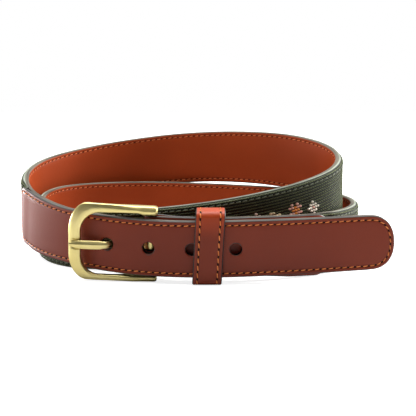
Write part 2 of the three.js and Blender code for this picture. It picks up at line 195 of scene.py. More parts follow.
# Seam between lining and face layers, from the billet tip to the buckle fold:
# x to the right, y away from the viewer, mid-height of the strap, lean of its top edge outwards.
SEAM = [
    (105.5, 2, 23.6, 1.5), (75.9, 0.1, 22.2, 1.5), (46.4, -1.8, 21, 1.5), (17, -3.4, 20.2, 1.5),
    (-12, -3.3, 19.8, 1.5), (-40.3, -0.1, 20.5, 1.5), (-66.9, 8.2, 22.6, 1.2), (-89.9, 22.3, 25.1, 0.8),
    (-107.6, 42.2, 28.6, 0), (-115.4, 67.1, 34.2, -0.7), (-112.2, 93, 39.5, -0.7),
    (-97.8, 116, 43.2, -0.5), (-75.7, 133.2, 46.7, -0.3), (-48.6, 143.1, 50.4, -0.3),
    (-19.2, 145.3, 53.8, -0.4), (10.1, 140.3, 55.6, -0.6), (38.4, 129.3, 55.9, -1),
    (62.8, 113.2, 54.7, -1.2), (80, 92.8, 51, -1.3), (86.6, 70.4, 45.4, -1.2), (79.8, 49.2, 40, -1.1),
    (61.2, 34.6, 35, -0.9), (36.5, 26.2, 29.7, -0.7), (8.5, 22.6, 25, -0.5), (-20.5, 22.3, 21.4, -0.3),
    (-49.3, 25.2, 18.9, -0.2), (-77, 31.7, 17.8, 0), (-98.2, 47.5, 17.8, 0),
    (-106.9, 71.5, 18.8, 0), (-103, 96.4, 21.7, 0), (-86.8, 117, 21.4, 0),
    (-61, 130.5, 20.5, 0), (-30.3, 136.5, 19.9, 0), (1.9, 136.2, 18.7, 0), (33.3, 130.4, 18, 0),
    (63, 120, 17.8, 0), (85.4, 102, 17.8, 0), (95, 76.4, 18.3, -0.3), (93.2, 49.4, 18.3, -0.6),
    (79.5, 26.5, 18.4, -0.3), (56.3, 11, 18.4, 0), (27.4, 3.3, 20.5, 0.6), (-3.9, 2.2, 20.6, 0.8),
    (-35.9, 5.8, 21.5, 0.6),
]

# Belt widths by distance along the seam: distance, width.
WIDTHS = [
    (0, 31), (90, 32), (190, 32), (218, 34.4), (BILLET_END, 35.4), (BILLET_END + 8, BAND_WIDTH),
    (400, BAND_WIDTH), (470, BAND_WIDTH + 1.3), (520, BAND_WIDTH + 1.3), (580, BAND_WIDTH),
    (TAB_START - 8, BAND_WIDTH), (TAB_START, 36), (TAB_START + 25, 35.4), (TAB_START + 62, 32.4),
    (2000, 32.4),
]

# Prong line seen from above, measured from the bar: x, y.
PRONG_LINE = [
    (0, 0), (-7, 0.6), (-13.5, 2.2), (-18.3, 3.3), (-20.8, 0.7), (-22.4, -3.6), (-24.4, -6.9),
    (-28.5, -7.4), (-35, -7.3), (-41.5, -6.55), (-45.5, -6.05),
]

# Offset of the frame's mid-plane from the bar: x, y.
FRAME_LINE = [(-46, -2.4), (-34, -3.6), (-22, -4.3), (-10, -4.2), (-4, -3.6), (4, -3.3)]

# Leather edge from the face to the rim: inset from the edge, depth under the face.
EDGE_REACH = 6.0
ACROSS_SHARES = (-0.75, -0.45, -0.15, 0.15, 0.45, 0.75)
RIM_INSET = 0.4
GROOVE_DEPTH = 0.26
GROOVE_INSETS = (1.9, 3.2)
GROOVED_EDGE = [
    (EDGE_REACH, 0), (3.4, 0), (3, 0.04), (2.75, 0.2), (THREAD_INSET, GROOVE_DEPTH), (2.05, 0.2),
    (1.8, 0.04), (1.3, 0), (0.75, 0.05), (0.35, 0.19), (0.1, 0.42), (0, 0.75),
]

PLAIN_EDGE = [(EDGE_REACH, 0), (1, 0), (0.5, 0.04), (0.2, 0.16), (0.05, 0.34), (0, 0.55)]

MATING_EDGE = [(EDGE_REACH, 0), (0.2, 0), (0.03, 0.03), (0, 0.1)]

CANVAS_EDGE = [(EDGE_REACH, 0), (2.6, 0), (1.8, 0.12), (1.1, 0.42), (0.5, 0.85), (0.12, 1.2), (0, 1.5)]

# Buckle section from the outer back edge over the front face: share across, depth (front is negative).
SECTION_BACK = [(1.0, -0.2), (1.0, 0.3), (0.96, 0.42), (0.85, 0.5), (0.15, 0.5), (0.04, 0.42)]
LIMB_SECTION = [
    (0, 0.25), (0, -0.1), (0.02, -0.2), (0.08, -0.28), (0.3, -0.39), (0.5, -0.48), (0.58, -0.5),
    (0.85, -0.5), (0.93, -0.47), (0.985, -0.38),
    *SECTION_BACK,
]

ARM_SECTION = [
    (0, 0.25), (0, -0.26), (0.02, -0.32), (0.08, -0.36), (0.25, -0.42), (0.42, -0.48), (0.5, -0.5),
    (0.84, -0.46), (0.92, -0.43), (0.985, -0.34),
    *SECTION_BACK,
]

# Prong section: share across, depth (front is positive), with its ridge above the middle.
PRONG_SECTION = [
    (1, -0.42), (0.94, -0.5), (-0.94, -0.5), (-1, -0.42), (-1, 0.02), (-0.9, 0.16), (-0.05, 0.47),
    (0.12, 0.5), (0.26, 0.44), (0.88, 0.16), (1, 0.05),
]

# Rounding of the arms' ends: distance from the end, share that the section shrinks.
ARM_END = [(0, 0.36), (0.15, 0.22), (0.5, 0.1), (1.1, 0.02), (1.8, 0)]
SEAT_DEPTH = 0.7

# Motif charts: c cream, p pink, y yellow, o orange, a dot is the green ground.
DIAMOND = "..c.. .ccc. ccpcc .ccc. ..c.."
FLOWER = ".p.p. ppopp .ooo. ppopp .p.p."
LEAF = "...yy .yyyy yyyyy yyyy. yy..."
MOTIFS = [DIAMOND, FLOWER, LEAF]
MOTIF_PITCH = 7
MOTIF_ROW = 8
FIRST_GROUP_COLUMN = 82
GROUP_COLUMNS = 40
GROUP_REPEAT = 112

# Colours are linear. Yarn colours by their marks on the charts, and the ground's.
YARN = {"c": (0.95, 0.89, 0.77), "p": (0.84, 0.48, 0.4), "y": (0.93, 0.82, 0.5), "o": (0.85, 0.3, 0.07)}
GREEN = (0.05, 0.061, 0.026)

# Leathers: dark and light dye, edge paint, roughness, shine, depth of the grain.
BURGUNDY = ((0.132, 0.0172, 0.0052), (0.2, 0.028, 0.0085))
TAN = ((0.22, 0.0315, 0.006), (0.345, 0.0515, 0.011))
LEATHERS = {
    "burgundy_leather": (*BURGUNDY, (0.056, 0.051, 0.045), 0.42, 0.22, 0.25),
    # The keeper's copy has near-black edge paint where the burgundy's is grey: painted shade on the keeper's
    # rims.
    "keeper_leather": (*BURGUNDY, (0.014, 0.013, 0.012), 0.4, 0.22, 0.25),
    "tan_leather": (*TAN, (0.12, 0.105, 0.082), 0.5, 0.08, 0.3),
}
# Tint of the painted highlight on the keeper's top bend, where the mesh's stretch value says so.
PAINTED_HIGHLIGHT_TINT = (1.5, 1.35, 0.9)
# Share of the dye kept in the stitch groove, as painted shade, and in the dark streaks of the edge paint.
GROOVE_SHADE_AND_STREAK_TONE = 0.35

# Threads: dark and light.
THREADS = {
    "orange_thread": ((0.5, 0.12, 0.022), (0.76, 0.23, 0.055)),
    "tan_thread": ((0.5, 0.095, 0.02), (0.66, 0.15, 0.035)),
    "green_thread": ((0.04, 0.05, 0.03), (0.15, 0.17, 0.11)),
}
# Near-black and dark brown for the punched holes' walls and the awl holes' lenses: painted shade in the
# holes, over the raw leather's own dark edge.
HOLE_SHADES = {"hole_shade": (0.006, 0.004, 0.003), "lining_awl_hole_shade": (0.06, 0.012, 0.005)}
DARK_BRASS = (0.6, 0.495, 0.18)
LIGHT_BRASS = (0.75, 0.635, 0.285)
WHITE = (1, 1, 1, 1)

# Scales of the noise in leather and canvas, in cells per metre.
CLOUD_SCALE = 14
WAVE_SCALE = 18
WEAR_SCALE = 60
CREASE_SCALE = 420
FIBRE_SCALE = 900
PORE_SCALE = 1500
GRAIN_SCALE = 2200

# Radiance of the surroundings towards the viewer's side and towards the back.
WORLD_FRONT = 0.12
WORLD_BACK = 0.85

# Soft lights: name, place in metres, size in metres, power in watts.
AREA_LIGHTS = [
    ("left_panel", (-0.75, 0.5, 0.05), (0.7, 0.22), 12),
    ("left_front_panel", (-0.8, -0.12, 0.06), (0.4, 0.12), 2),
    ("right_panel", (0.85, 0.35, 0.3), (0.6, 0.6), 24),
    ("top_panel", (0, 0.08, 1), (1.2, 0.9), 27),
]
LIGHT_TARGET = (0, 0, 0.03)
CAMERA_PLACE = (0.2, -447.1, 122.2)
CAMERA_PITCH = 10.09
CAMERA_YAW = 0.16
SENSOR_WIDTH = 36
FOCAL_PIXELS = 820
IMAGE_PIXELS = 416
FLOOR_REACH = 1500
FLOOR_TONE = 0.5
FLOOR_GLOW = 0.8

# The seam's table is moved to where the keeper's solid stands.
KEEPER_LOW, KEEPER_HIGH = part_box("keeper_loop")
KEEPER_LEAN = math.tan(math.radians(KEEPER_TILT))
SEAM_SHIFT = (
    KEEPER_HIGH.x / MM - KEEPER_X - KEEPER_WIDTH / 2 - KEEPER_HEIGHT / 2 * KEEPER_LEAN,
    KEEPER_LOW.y / MM - KEEPER_FRONT,
    KEEPER_LOW.z / MM,
)
UP = np.array((0.0, 0.0, 1.0))
RANDOM = np.random.default_rng(7)


def smoothstep(value, low, high):
    f = np.clip((np.asarray(value, float) - low) / (high - low), 0, 1)
    return f * f * (3 - 2 * f)


def lengths(points):
    """Length of a line of points up to each of them."""
    steps = np.linalg.norm(np.diff(points, axis=0), axis=1)
    return np.concatenate([[0], np.cumsum(steps)])


def circle(sides, turn=0.0):
    """Cosines and sines round a circle, turned by a share of a step."""
    angles = [2 * math.pi * (k + turn) / sides for k in range(sides)]
    return [(math.cos(angle), math.sin(angle)) for angle in angles]


def unit(vectors):
    return vectors / np.linalg.norm(vectors, axis=-1, keepdims=True)


def spline(rows, u):
    """Uniform cubic B-spline guided by the rows; it starts and stops on the end ones."""
    rows = np.asarray(rows, float)
    padded = np.vstack([2 * rows[0] - rows[1], rows, 2 * rows[-1] - rows[-2]])
    u = np.asarray(u, float)
    span = np.clip(np.floor(u), 0, len(rows) - 2).astype(int)
    f = (u - span)[..., None]
    weights = ((1 - f) ** 3, 3 * f**3 - 6 * f**2 + 4, -3 * f**3 + 3 * f**2 + 3 * f + 1, f**3)
    return sum(weight / 6 * padded[span + k] for k, weight in enumerate(weights))


LAST_ROW = len(SEAM) - 1
SAMPLES_PER_ROW = 16
PARAMETER = np.linspace(0, LAST_ROW, LAST_ROW * SAMPLES_PER_ROW + 1)
TRAVELLED = lengths(spline(SEAM, PARAMETER)[:, :3])
SEAM_LENGTH = TRAVELLED[-1]
BAR_STATION = SEAM_LENGTH - BAR_FROM_END


def strap_axes(distance):
    """Centre and directions (along, across, out) of the strap at distances from the tip."""
    distance = np.asarray(distance, float)
    inside = np.clip(distance, 0, SEAM_LENGTH)
    u = np.interp(inside, TRAVELLED, PARAMETER)
    row = spline(SEAM, u)
    step = 0.02
    ahead = spline(SEAM, np.minimum(u + step, LAST_ROW))[..., :3]
    behind = spline(SEAM, np.maximum(u - step, 0))[..., :3]
    along = unit(ahead - behind)
    flat_out = unit(np.cross(UP, along))
    flat_up = np.cross(along, flat_out)
    lean = np.radians(row[..., 3:4])
    across = flat_up * np.cos(lean) + flat_out * np.sin(lean)
    out = flat_out * np.cos(lean) - flat_up * np.sin(lean)
    centre = row[..., :3] + SEAM_SHIFT + along * (distance - inside)[..., None]
    return centre, along, across, out


def strap_points(distance, w, t):
    """Points on the strap: distance from the tip, w across towards the top edge, t outwards."""
    centre, _, across, out = strap_axes(distance)
    w = np.asarray(w, float)[..., None]
    t = np.asarray(t, float)[..., None]
    return centre + across * w + out * t


def half_width(distance):
    at, width = np.array(WIDTHS, float).T
    return np.interp(distance, at, width) / 2


def stations(start, end, step):
    count = max(2, int(math.ceil((end - start) / step)) + 1)
    return np.linspace(start, end, count)


def new_material(name):
    material = bpy.data.materials.new(name)
    material.use_nodes = True
    return material, material.node_tree


def feed(tree, node, inputs):
    """Links each input that is given a socket and sets each that is given a value."""
    for name, value in inputs.items():
        if isinstance(value, bpy.types.NodeSocket):
            tree.links.new(value, node.inputs[name])
        else:
            node.inputs[name].default_value = value


def add_node(tree, kind, inputs, output=0, **settings):
    """Adds a shader node and returns one of its outputs."""
    node = tree.nodes.new(f"ShaderNode{kind}")
    for name, value in settings.items():
        setattr(node, name, value)
    feed(tree, node, inputs)
    return node.outputs[output]


def grey(tone):
    return (tone,) * 3


def tint(colour, shares):
    return tuple(np.multiply(colour, shares).tolist())


def noise(tree, scale, detail=3.0, stretch=None, space=None):
    """Noise over the object's space, or over a vector that the mesh carries."""
    place = attribute(tree, space, "Vector") if space else add_node(tree, "TexCoord", {}, "Object")
    if stretch:
        place = add_node(tree, "Mapping", {"Vector": place, "Scale": stretch})
    return add_node(tree, "TexNoise", {"Vector": place, "Scale": scale, "Detail": detail}, "Fac")


def ramp(tree, source, *stops):
    """Colour between two stops, each a position and a colour."""
    node = tree.nodes.new("ShaderNodeValToRGB")
    tree.links.new(source, node.inputs["Fac"])
    for element, (position, colour) in zip(node.color_ramp.elements, stops):
        element.position = position
        element.color = (*colour, 1)
    return node.outputs["Color"]


def mix_colour(tree, factor, first, second, blend_type="MIX"):
    first, second = ((*c, 1) if isinstance(c, tuple) else c for c in (first, second))
    inputs = {0: factor, 6: first, 7: second}
    return add_node(tree, "Mix", inputs, 2, data_type="RGBA", blend_type=blend_type)


def attribute(tree, name, output="Fac"):
    return add_node(tree, "Attribute", {}, output, attribute_name=name)


def bumps(tree, layers):
    """Normal with layers of relief, each a height, a strength and a distance."""
    inputs = {}
    for height, strength, distance in layers:
        inputs |= {"Height": height, "Strength": strength, "Distance": distance}
        inputs["Normal"] = add_node(tree, "Bump", inputs)
    return inputs["Normal"]


def spread(tree, source, low, high):
    return add_node(tree, "MapRange", {"Value": source, "To Min": low, "To Max": high})


def dress(material, colour, roughness, shine, layers=(), more=None):
    """Sets up the material's shader and returns the material."""
    tree = material.node_tree
    inputs = {"Base Color": colour, "Roughness": roughness, "Specular IOR Level": shine, **(more or {})}
    if layers:
        inputs["Normal"] = bumps(tree, layers)
    feed(tree, tree.nodes["Principled BSDF"], inputs)
    return material


def leather(name, dark, light, edge, roughness, shine, grain):
    """Dyed smooth leather; where the mesh says so, a painted highlight at a bend, painted shade in a groove
    and edge paint on a rim.
    """
    material, tree = new_material(name)
    face = ramp(tree, noise(tree, CLOUD_SCALE, 2), (0.2, dark), (0.8, light))
    pores = ramp(tree, noise(tree, PORE_SCALE, 2), (0.25, grey(0.3)), (0.5, grey(0.0)))
    face = mix_colour(tree, pores, face, dark)
    # Painted highlight: lighter, warmer dye where the mesh's stretch value is high, at the keeper's top
    # bend.
    face = mix_colour(tree, attribute(tree, "stretch"), face, tint(light, PAINTED_HIGHLIGHT_TINT))
    # Painted shade: darker dye down in the stitch groove, by its depth.
    face = mix_colour(tree, attribute(tree, "groove"), face, tint(dark, GROOVE_SHADE_AND_STREAK_TONE))
    streaks = noise(tree, FIBRE_SCALE, 3, (0.05, 1, 1.6), "strap")
    paint = ramp(tree, streaks, (0.36, tint(edge, GROOVE_SHADE_AND_STREAK_TONE)), (0.56, edge))
    waves = (noise(tree, WAVE_SCALE, 1), 0.08, 0.001)
    creases = (noise(tree, CREASE_SCALE, 5), grain, 0.00022)
    fine_grain = (noise(tree, GRAIN_SCALE, 2), grain * 0.7, 0.00008)
    colour = mix_colour(tree, attribute(tree, "rim"), face, paint)
    worn = spread(tree, noise(tree, WEAR_SCALE), roughness - 0.05, roughness + 0.07)
    return dress(material, colour, worn, shine, (waves, creases, fine_grain))


def thread_material(name, dark, light):
    material, tree = new_material(name)
    colour = ramp(tree, noise(tree, 1600), (0.3, dark), (0.7, light))
    return dress(material, colour, 0.6, 0.3, [(noise(tree, 2600, 2), 0.6, 0.00015)])


def plain_dark(name, colour):
    material, tree = new_material(name)
    colour = ramp(tree, noise(tree, 700, 2), (0.3, colour), (0.7, tint(colour, 1.6)))
    return dress(material, colour, 0.85, 0.1)


def yarn_material():
    """Wool yarn, its colour set stitch by stitch on the mesh, with fuzz that catches grazing light."""
    material, tree = new_material("needlepoint_yarn")
    base = attribute(tree, "yarn", "Color")
    tone = ramp(tree, noise(tree, 260, 4), (0.25, grey(0.62)), (0.75, grey(1.25)))
    colour = mix_colour(tree, 1.0, base, tone, "MULTIPLY")
    fuzz = {"Sheen Weight": 0.4, "Sheen Roughness": 0.5, "Sheen Tint": (0.75, 0.8, 0.48, 1)}
    return dress(material, colour, 0.9, 0.2, [(noise(tree, 3200, 2), 0.7, 0.00018)], fuzz)


def canvas_material():
    """Ground canvas, painted near-black as the shade in the gaps between the stitches; pale along the turned
    edge.
    """
    material, tree = new_material("needlepoint_canvas")
    weave = noise(tree, FIBRE_SCALE, 2)
    # Painted shade: the canvas between the stitches is made near-black.
    ground = ramp(tree, weave, (0.3, (0.006, 0.008, 0.005)), (0.7, (0.016, 0.02, 0.013)))
    streaks = noise(tree, FIBRE_SCALE, 3, (0.06, 1, 1.6), "strap")
    pale = ramp(tree, streaks, (0.34, (0.12, 0.135, 0.1)), (0.6, (0.27, 0.29, 0.23)))
    colour = mix_colour(tree, attribute(tree, "rim"), ground, pale)
    return dress(material, colour, 0.9, 0.5, [(noise(tree, PORE_SCALE, 2), 0.5, 0.0002)])


def brass_material():
    """Satin brass with fine brushing and slightly darker patches."""
    material, tree = new_material("satin_brass")
    brushing = (noise(tree, 1800, 2, (0.08, 1, 1)), 0.12, 0.00006)
    dents = (noise(tree, 130, 2), 0.1, 0.0004)
    colour = ramp(tree, noise(tree, 45), (0.3, DARK_BRASS), (0.7, LIGHT_BRASS))
    roughness = spread(tree, noise(tree, 500, 3, (0.15, 1, 1)), 0.28, 0.42)
    return dress(material, colour, roughness, 0.5, (brushing, dents), {"Metallic": 1.0})


def add_object(name, data):
    obj = bpy.data.objects.new(name, data)
    bpy.context.scene.collection.objects.link(obj)
    return obj


def make_object(name, points, faces, materials):
    """Mesh object from points in millimetres."""
    mesh = bpy.data.meshes.new(name)
    mesh.from_pydata((np.asarray(points) * MM).tolist(), [], faces)
    mesh.update()
    for material in materials:
        mesh.materials.append(material)
    return add_object(name, mesh)


def point_values(obj, name, values):
    """Stores a number, a vector or a colour for every vertex."""
    values = np.asarray(values, np.float32).ravel()
    kinds = {1: ("FLOAT", "value"), 3: ("FLOAT_VECTOR", "vector"), 4: ("FLOAT_COLOR", "color")}
    kind, field = kinds[len(values) // len(obj.data.vertices)]
    obj.data.attributes.new(name, kind, "POINT").data.foreach_set(field, values)


def finish_mesh(obj, sharp_angle=SHARP_ANGLE):
    """Merges doubled points, turns the faces outwards and shades the piece smooth."""
    solid = bmesh.new()
    solid.from_mesh(obj.data)
    bmesh.ops.remove_doubles(solid, verts=solid.verts, dist=MERGE_DISTANCE)
    bmesh.ops.dissolve_degenerate(solid, edges=solid.edges, dist=SHORTEST_EDGE)
    bmesh.ops.recalc_face_normals(solid, faces=solid.faces)
    solid.to_mesh(obj.data)
    solid.free()
    obj.data.shade_smooth()
    obj.data.set_sharp_from_angle(angle=math.radians(sharp_angle))
    return obj


def ring_faces(rings, size, closed=False, capped=True):
    """Faces between rings of points, closed into a loop or capped at both ends."""
    faces = []
    for r in range(rings if closed else rings - 1):
        a = r * size
        b = (r + 1) % rings * size
        for k in range(size):
            n = (k + 1) % size
            faces.append((a + k, a + n, b + n, b + k))
    if capped and not closed:
        faces += [tuple(range(size))[::-1], tuple(range((rings - 1) * size, rings * size))]
    return faces


def tip_outline(step):
    """Upper half of the pointed end: distance, half width and the outline's normal."""
    full = half_width(0)
    angle = np.linspace(0, math.pi / 2, int(TIP_PATH / step))
    power = 2 / TIP_BLUNTNESS
    d = TIP_LENGTH * (1 - np.cos(angle) ** power)
    w = full * np.sin(angle) ** power
    back = np.clip((TIP_LENGTH - d) / TIP_LENGTH, 0, 1) ** (TIP_BLUNTNESS - 1) / TIP_LENGTH
    side = np.clip(w / full, 0, 1) ** (TIP_BLUNTNESS - 1) / full
    size = np.hypot(back, side)
    return np.stack([d, w, -back / size, side / size], 1)


def strip_outline(start, end, step, rounded=0):
    """Distance, half width and outline normal along a strip; rounded is 1 for the end, -1 for the start."""
    tipped = start == 0
    if tipped:
        start = TIP_LENGTH
    turn = END_CORNER * np.sin(np.linspace(0, math.pi / 2, CORNER_ROWS)[1:])
    if rounded > 0:
        d = np.concatenate([stations(start, end - END_CORNER, step), end - END_CORNER + turn])
    elif rounded < 0:
        d = np.concatenate([start + END_CORNER - turn[::-1], stations(start + END_CORNER, end, step)])
    else:
        d = stations(start, end, step)
    last = end if rounded > 0 else start
    into = np.clip(1 - rounded * (last - d) / END_CORNER, 0, 1) * abs(rounded)
    depth = np.sqrt(1 - into**2)
    rows = np.stack([d, half_width(d) - END_CORNER * (1 - depth), rounded * into, depth], 1)
    if rounded:
        narrowest = rows[-1 if rounded > 0 else 0, 1]
        closing = [(last, narrowest * share, rounded, 0) for share in (0.75, 0.5, 0.25, 0)]
        rows = np.vstack([rows, closing] if rounded > 0 else [closing[::-1], rows])
    if tipped:
        rows = np.vstack([tip_outline(step), rows[1:]])
    return rows.T


def section_plan(outer_edge, inner_edge):
    """Section of a strip as rows: side, inset, depth under its face, whether on the outer face."""
    rows = [(share, EDGE_REACH, 0, True) for share in ACROSS_SHARES]
    rows += [(1, *point, True) for point in outer_edge]
    rows += [(1, *point, False) for point in reversed(inner_edge)]
    rows += [(share, EDGE_REACH, 0, False) for share in reversed(ACROSS_SHARES)]
    rows += [(-1, *point, False) for point in inner_edge]
    return rows + [(-1, *point, True) for point in reversed(outer_edge)]


def planned_piece(name, plan, rings, strap, materials, closed=False):
    """Piece whose rings follow a section plan, with rim, groove and the strap's space stored on it."""
    points = np.reshape(rings, (-1, 3))
    count = len(points) // len(plan)
    obj = make_object(name, points, ring_faces(count, len(plan), closed), materials)
    low, high = GROOVE_INSETS
    _, inset, depth, _ = np.array(plan).T
    # How far down each point lies in the stitch groove, which the leather darkens as painted shade.
    groove = np.minimum(depth / GROOVE_DEPTH, 1) * (low < inset) * (inset < high)
    point_values(obj, "rim", np.tile(inset < RIM_INSET, count))
    point_values(obj, "groove", np.tile(groove, count))
    point_values(obj, "strap", strap)
    return obj


def swept_strip(name, outline, place, outer_edge, inner_edge, materials):
    """Strip with shaped edges; place gives a plan row's points and their places in the strap's space."""
    d, w, nd, nw = outline
    plan = section_plan(outer_edge, inner_edge)
    rings = np.zeros((len(d), len(plan), 3))
    strap = np.zeros_like(rings)
    for k, (way, inset, depth, on_outer) in enumerate(plan):
        across = np.maximum(w - inset * nw, 0) * way
        rings[:, k], spot = place(d - inset * nd, across, depth, on_outer)
        strap[:, k] = np.stack(spot, 1) * MM
    return finish_mesh(planned_piece(name, plan, rings, strap, materials))


def strip(name, outline, inner, outer, outer_edge, inner_edge, materials):
    """Strip of the strap between two depths."""
    inner, outer, _ = np.broadcast_arrays(inner, outer, outline[0])
    middle = (inner + outer) / 2

    def place(along, across, depth, on_outer):
        t = np.maximum(outer - depth, middle) if on_outer else np.minimum(inner + depth, middle)
        return strap_points(along, across, t), (along, across, t)

    return swept_strip(name, outline, place, outer_edge, inner_edge, materials)


def hole_cutter(distance, length, materials):
    """Prism through the strap at a punched hole, flared where it leaves either face."""
    straight = (length - HOLE_DIAMETER) / 2
    flares = [(LINING_FACE + t, flare) for t, flare in LINING_FLARE]
    flares += [(OUTER_FACE + t, flare) for t, flare in OUTER_FLARE]
    centre, along, across, out = strap_axes(distance)
    points = []
    for t, flare in flares:
        radius = HOLE_DIAMETER / 2 + flare
        for cosine, sine in circle(HOLE_SIDES, 0.5):
            slide = radius * cosine + math.copysign(straight, cosine)
            points.append(centre + across * radius * sine + out * t + along * slide)
    cutter = make_object("cutter", points, ring_faces(len(flares), HOLE_SIDES), materials)
    # The middle wall takes the dark hole material: painted shade inside the hole.
    for polygon in cutter.data.polygons[2 * HOLE_SIDES:3 * HOLE_SIDES]:
        polygon.material_index = 1
    return finish_mesh(cutter)


def punch(obj, materials):
    """Punches the holes, the first one drawn long by the prong."""
    slack = DRAWN_HOLE_LENGTH - HOLE_DIAMETER
    cutters = [hole_cutter(FIRST_HOLE - slack / 2, DRAWN_HOLE_LENGTH, materials)]
    for k in range(1, PLAIN_HOLES + 1):
        cutters.append(hole_cutter(FIRST_HOLE - k * HOLE_PITCH, HOLE_DIAMETER, materials))
    cut(obj, cutters)


def cut(obj, cutters):
    """Cuts each cutter out of the piece, shades it again and removes the cutters."""
    for cutter in cutters:
        modifier = obj.modifiers.new("cut", "BOOLEAN")
        modifier.operation = "DIFFERENCE"
        modifier.solver = "EXACT"
        modifier.material_mode = "TRANSFER"
        modifier.object = cutter
    graph = bpy.context.evaluated_depsgraph_get()
    mesh = bpy.data.meshes.new_from_object(obj.evaluated_get(graph))
    obj.modifiers.clear()
    obj.data = mesh
    mesh.set_sharp_from_angle(angle=math.radians(SHARP_ANGLE))
    for cutter in cutters:
        bpy.data.objects.remove(cutter)


def lap_lift(distance):
    """Height of the leather's underside where it laps the needlepoint's end."""
    billet = smoothstep(distance, BILLET_END - LAP_LENGTH - 10, BILLET_END - LAP_LENGTH - 1)
    tab = 1 - smoothstep(distance, TAB_START + LAP_LENGTH + 1, TAB_START + LAP_LENGTH + 10)
    return LAYER_GAP / 2 + LAP_RISE * np.where(np.asarray(distance) < SEAM_LENGTH / 2, billet, tab)


def leather_thickness(distance):
    lifted = (lap_lift(distance) - LAYER_GAP / 2) / LAP_RISE
    return FACE_THICKNESS + (SKIVED_THICKNESS - FACE_THICKNESS) * lifted


def lining_strap(materials):
    outline = strip_outline(0, BAR_STATION - INNER_LEG - 0.5, 2.4)
    return strip("lining", outline, LINING_FACE, -HAIRLINE, MATING_EDGE, GROOVED_EDGE, materials)


def leather_face(distance):
    return lap_lift(distance) + leather_thickness(distance)


def billet_leather(materials):
    outline = strip_outline(0, BILLET_END, 1.6, 1)
    under = lap_lift(outline[0]) - LAYER_GAP / 2 + HAIRLINE
    return strip("billet", outline, under, leather_face(outline[0]), GROOVED_EDGE, MATING_EDGE, materials)


def band_outer(distance):
    """Height of the band's outer face, pressed down towards its ends."""
    start = smoothstep(distance, BILLET_END, BILLET_END + LAP_LENGTH)
    end = 1 - smoothstep(distance, TAB_START - LAP_LENGTH, TAB_START)
    return LAYER_GAP / 2 + PRESSED_THICKNESS + (BAND_THICKNESS - PRESSED_THICKNESS) * start * end


def needlepoint_canvas(materials):
    outline = strip_outline(BILLET_END - LAP_LENGTH, TAB_START + LAP_LENGTH, 2.4)
    outer = band_outer(outline[0]) - STITCH_HEIGHT + 0.1
    return strip("needlepoint_canvas", outline, HAIRLINE, outer, CANVAS_EDGE, MATING_EDGE, materials)


def stitch_colours(columns):
    """Colour of every stitch: the green ground with groups of small charted motifs."""
    chart = np.full((columns, STITCH_ROWS), ".", dtype="<U1")
    for first in range(FIRST_GROUP_COLUMN, columns - GROUP_COLUMNS, GROUP_REPEAT):
        for k, motif in enumerate(2 * MOTIFS):
            for r, line in enumerate(reversed(motif.split())):
                for c, mark in enumerate(line):
                    chart[first + k * MOTIF_PITCH + c, MOTIF_ROW + k % 2 + r] = mark
    colours = np.full((columns, STITCH_ROWS, 3), GREEN)
    for mark, colour in YARN.items():
        colours[chart == mark] = colour
    return colours * RANDOM.uniform(0.8, 1.2, (columns, STITCH_ROWS, 1))


def stitch_surface(distance, w, half):
    """Height of the stitched face, rounded down over the band's edges."""
    over = np.clip((np.abs(w) - half + EDGE_ROUNDING) / EDGE_ROUNDING, 0, 1)
    return band_outer(distance) - EDGE_DROP * over**2


def stitch_shape(width):
    """Rows forward, sideways and up of a stitch: three rings of four points, then its two ends."""
    shape = []
    for place, wide, tall in ((-0.62, 0.85, 0.82), (0.0, 1.0, 1.0), (0.62, 0.85, 0.82)):
        for sideways, rise in ((-1.0, 0.0), (-0.55, 0.9), (0.55, 0.9), (1.0, 0.0)):
            shape.append((place * STITCH_REACH, sideways * wide * width, rise * tall))
    return shape + [(-STITCH_REACH, 0.0, 0.15), (STITCH_REACH, 0.0, 0.15)]


def repeated(faces, size, count):
    """Faces of a row of equal small shapes, each of so many points."""
    return [tuple(v + k * size for v in face) for k in range(count) for face in faces]


def stitch_faces():
    faces = ring_faces(3, 4, capped=False)
    for k in range(4):
        n = (k + 1) % 4
        faces.append((12, n, k))
        faces.append((13, 8 + k, 8 + n))
    return faces


def needlepoint_stitches(name, material, first, last, colours, start, pitch):
    """Slanted yarn stitches, one closed bead each, on columns first to last."""
    column, row = np.divmod(np.arange(first * STITCH_ROWS, last * STITCH_ROWS), STITCH_ROWS)
    count = len(column)
    centre_d = start + (column + 0.5) * pitch + RANDOM.uniform(-0.07, 0.07, count)
    half = half_width(centre_d)
    cell = 2 * (half - STITCH_MARGIN) / STITCH_ROWS
    centre_w = -half + STITCH_MARGIN + (row + 0.5) * cell + RANDOM.uniform(-0.04, 0.04, count)
    height = STITCH_HEIGHT * RANDOM.uniform(0.9, 1.1, count)
    slant = np.radians(STITCH_SLANT + RANDOM.uniform(-5, 5, count))
    marked = colours[column, row].max(1) > 2 * max(GREEN)
    shape = stitch_shape(np.where(marked, MOTIF_STITCH_HALF, GROUND_STITCH_HALF))
    cosine, sine = np.cos(slant), np.sin(slant)
    points = np.zeros((count, len(shape), 3))
    for k, (forward, sideways, rise) in enumerate(shape):
        d = centre_d + cosine * forward - sine * sideways
        w = np.clip(centre_w + sine * forward + cosine * sideways, -half, half)
        points[:, k] = strap_points(d, w, stitch_surface(d, w, half) - STITCH_HEIGHT + height * rise)
    faces = repeated(stitch_faces(), len(shape), count)
    obj = make_object(name, points.reshape(-1, 3), faces, [material])
    obj.data.shade_smooth()
    tones = np.ones((count, len(shape), 4), np.float32)
    tones[:, :, :3] = colours[column, row][:, None, :]
    # Painted shade on the ground stitches' feet and on every stitch's ends.
    tones[:, STITCH_FOOT, :3] *= np.where(marked, 1.0, GROUND_SHADE)[:, None, None]
    tones[:, STITCH_ENDS, :3] *= END_SHADE
    point_values(obj, "yarn", tones)
    return obj


